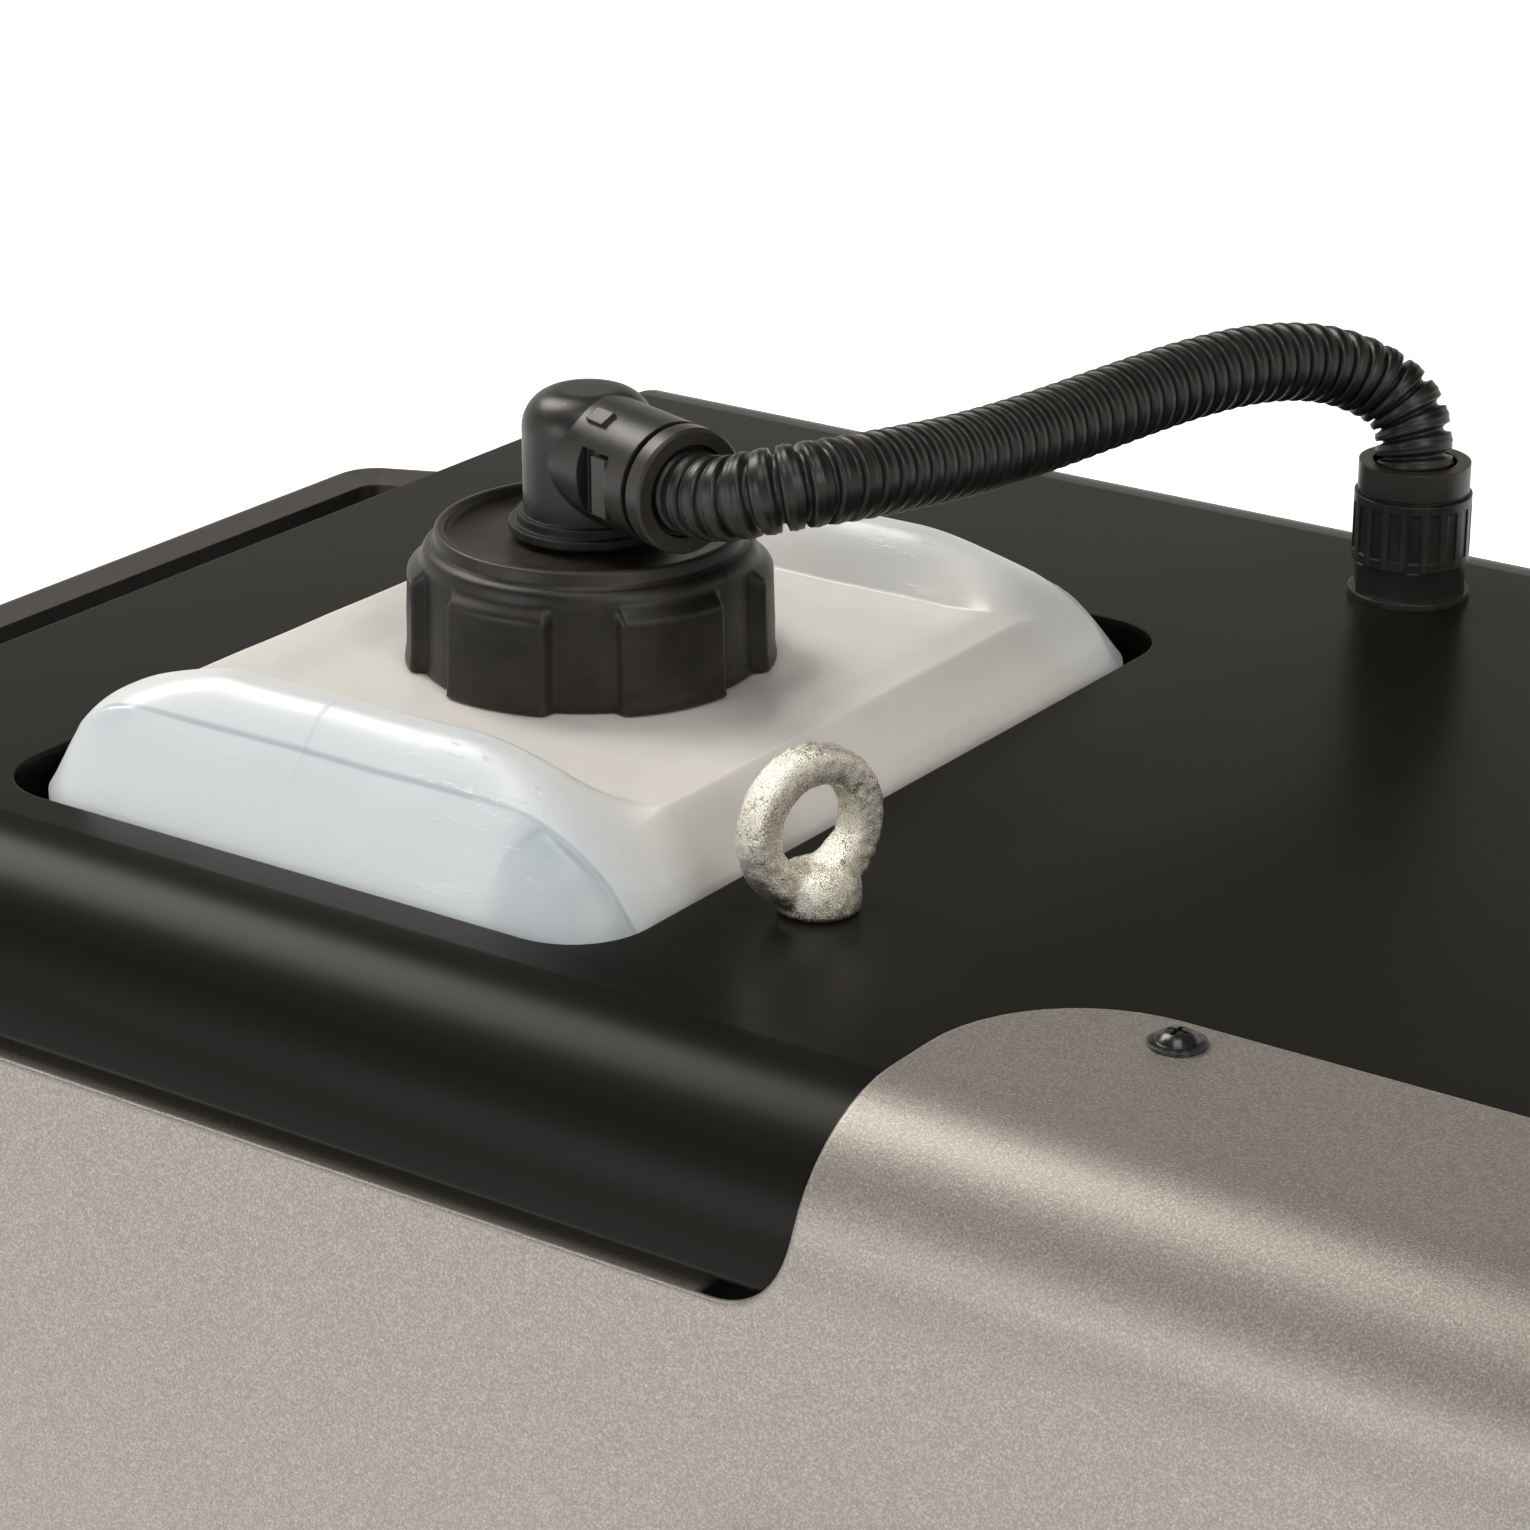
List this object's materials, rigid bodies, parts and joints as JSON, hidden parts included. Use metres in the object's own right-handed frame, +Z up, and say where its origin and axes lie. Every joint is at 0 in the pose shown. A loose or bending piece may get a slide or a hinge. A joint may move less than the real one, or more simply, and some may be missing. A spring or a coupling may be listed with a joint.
{
  "type": "dehumidifier",
  "caption": "Mobile dehumidifier cabinet with a lift-out condensate canister in its deck, a corrugated condensate hose, a lifting eye, side handles and two wheels.",
  "frame": {"origin": "on the floor under the middle of the machine", "axes": "+Z up, the control panel and air outlet face -Y, the air filter faces +Y, the wheels are at -X"},
  "size_m": [0.5022, 0.406, 0.6335],
  "materials": {
    "black_powder_coat": "satin fine textured black powder coat",
    "grey_metallic_coat": "fine grained metallic grey powder coat",
    "grey_sheet": "galvanised sheet, matt",
    "natural_polyethylene": "translucent milky blow moulded polyethylene",
    "black_polypropylene": "matt moulded black",
    "black_nylon": "matt moulded black nylon",
    "grey_plastic": "moulded dark grey",
    "white_plastic": "moulded off-white",
    "amber_lens": "clear coloured lamp lens",
    "board_green": "lacquered circuit board",
    "zinc_cast": "rough cast surface, bright zinc plated",
    "zinc_steel": "zinc plated",
    "black_screw": "black oxide, oiled",
    "rubber": "matt black rubber",
    "tyre": "solid rubber tyre",
    "copper": "drawn copper",
    "fins": "bare aluminium fins",
    "compressor_black": "gloss black enamel",
    "filter_foam": "open cell filter foam"
  },
  "bodies": {
    "cabinet": {"top_cover": "black_powder_coat", "side_panels": "black_powder_coat", "front_panel": "grey_metallic_coat", "screws": "black_screw", "right_handle": "black_nylon", "left_handle": "black_nylon", "canister_well": "black_powder_coat", "deck_fitting": "black_nylon", "deck_locknut": "black_nylon", "eyebolt": "zinc_cast", "base_pan": "grey_sheet", "axle": "zinc_steel", "axle_saddles": "grey_sheet", "axle_caps": "black_nylon", "stand_leg": "black_powder_coat", "rubber_feet": "rubber", "divider": "grey_sheet", "fan_bulkhead": "grey_sheet", "inner_brackets": "zinc_steel", "fan_motor": "zinc_steel", "outlet_grille": "black_nylon", "evaporator": "fins", "condenser": "fins", "drip_tray": "grey_plastic", "compressor": "compressor_black", "grommets": "rubber", "terminal_cover": "black_nylon", "accumulator": "compressor_black", "filter_drier": "copper", "refrigerant_pipes": "copper", "sump": "white_plastic", "condensate_pump": "grey_plastic", "inner_hose": "black_nylon", "control_box": "grey_sheet", "control_box_lid": "grey_sheet", "circuit_board": "board_green", "mains_inlet": "black_nylon", "control_panel": "black_nylon", "control_bodies": "grey_plastic", "indicators": "amber_lens", "filter_rails": "grey_sheet"},
    "canister_unit": {"canister": "natural_polyethylene"},
    "elbow_unit": {"elbow_fitting": "black_nylon", "elbow_ring": "black_nylon", "elbow_locknut": "black_nylon", "condensate_hose": "black_nylon"},
    "cap": {"screw_cap": "black_polypropylene", "cap_seal": "rubber"},
    "front_wheel": {"front_tyre": "tyre", "front_hub": "grey_plastic"},
    "back_wheel": {"back_tyre": "tyre", "back_hub": "grey_plastic"},
    "fan": {"fan_impeller": "grey_plastic", "fan_shaft": "zinc_steel"},
    "knob": {"humidistat_knob": "grey_plastic"},
    "rocker": {"power_rocker": "white_plastic"},
    "button": {"test_button": "grey_plastic"},
    "filter_cassette": {"filter_frame": "grey_plastic", "filter_medium": "filter_foam"},
    "float_unit": {"float": "white_plastic"}
  },
  "joints": [
    {"name": "canister_lift", "type": "slide", "parent": "cabinet", "child": "canister_unit", "axis": [0, 0, 1], "range_m": [0, 0.26]},
    {"name": "cap_rise", "type": "slide", "parent": "canister_unit", "child": "elbow_unit", "axis": [0, 0, 1], "range_m": [0, 0.0075]},
    {"name": "cap_turn", "type": "hinge", "parent": "elbow_unit", "child": "cap", "pos_m": [-0.0905, -0.034, 0.58], "axis": [0, 0, 1], "range_deg": [0, 540]},
    {"name": "front_wheel_spin", "type": "hinge", "parent": "cabinet", "child": "front_wheel", "pos_m": [-0.158, -0.184, 0.0625], "axis": [0, 1, 0], "continuous": true},
    {"name": "back_wheel_spin", "type": "hinge", "parent": "cabinet", "child": "back_wheel", "pos_m": [-0.158, 0.184, 0.0625], "axis": [0, 1, 0], "continuous": true},
    {"name": "fan_spin", "type": "hinge", "parent": "cabinet", "child": "fan", "pos_m": [0.1075, -0.082, 0.3], "axis": [0, -1, 0], "continuous": true},
    {"name": "humidistat_turn", "type": "hinge", "parent": "cabinet", "child": "knob", "pos_m": [0.0575, -0.17, 0.46], "axis": [0, -1, 0], "range_deg": [-270, 0]},
    {"name": "rocker_tilt", "type": "hinge", "parent": "cabinet", "child": "rocker", "pos_m": [0.1615, -0.168, 0.46], "axis": [1, 0, 0], "range_deg": [0, 16]},
    {"name": "button_press", "type": "slide", "parent": "cabinet", "child": "button", "axis": [0, 1, 0], "range_m": [0, 0.0015], "stiffness_N_per_m": 300},
    {"name": "filter_slide", "type": "slide", "parent": "cabinet", "child": "filter_cassette", "axis": [0, 0, 1], "range_m": [0, 0.3]},
    {"name": "float_rise", "type": "slide", "parent": "cabinet", "child": "float_unit", "axis": [0, 0, 1], "range_m": [0, 0.008]}
  ],
  "couplings": [
    {"joint": "cap_rise", "follows": "cap_turn", "m_per_rad": 0.00079577}
  ]
}
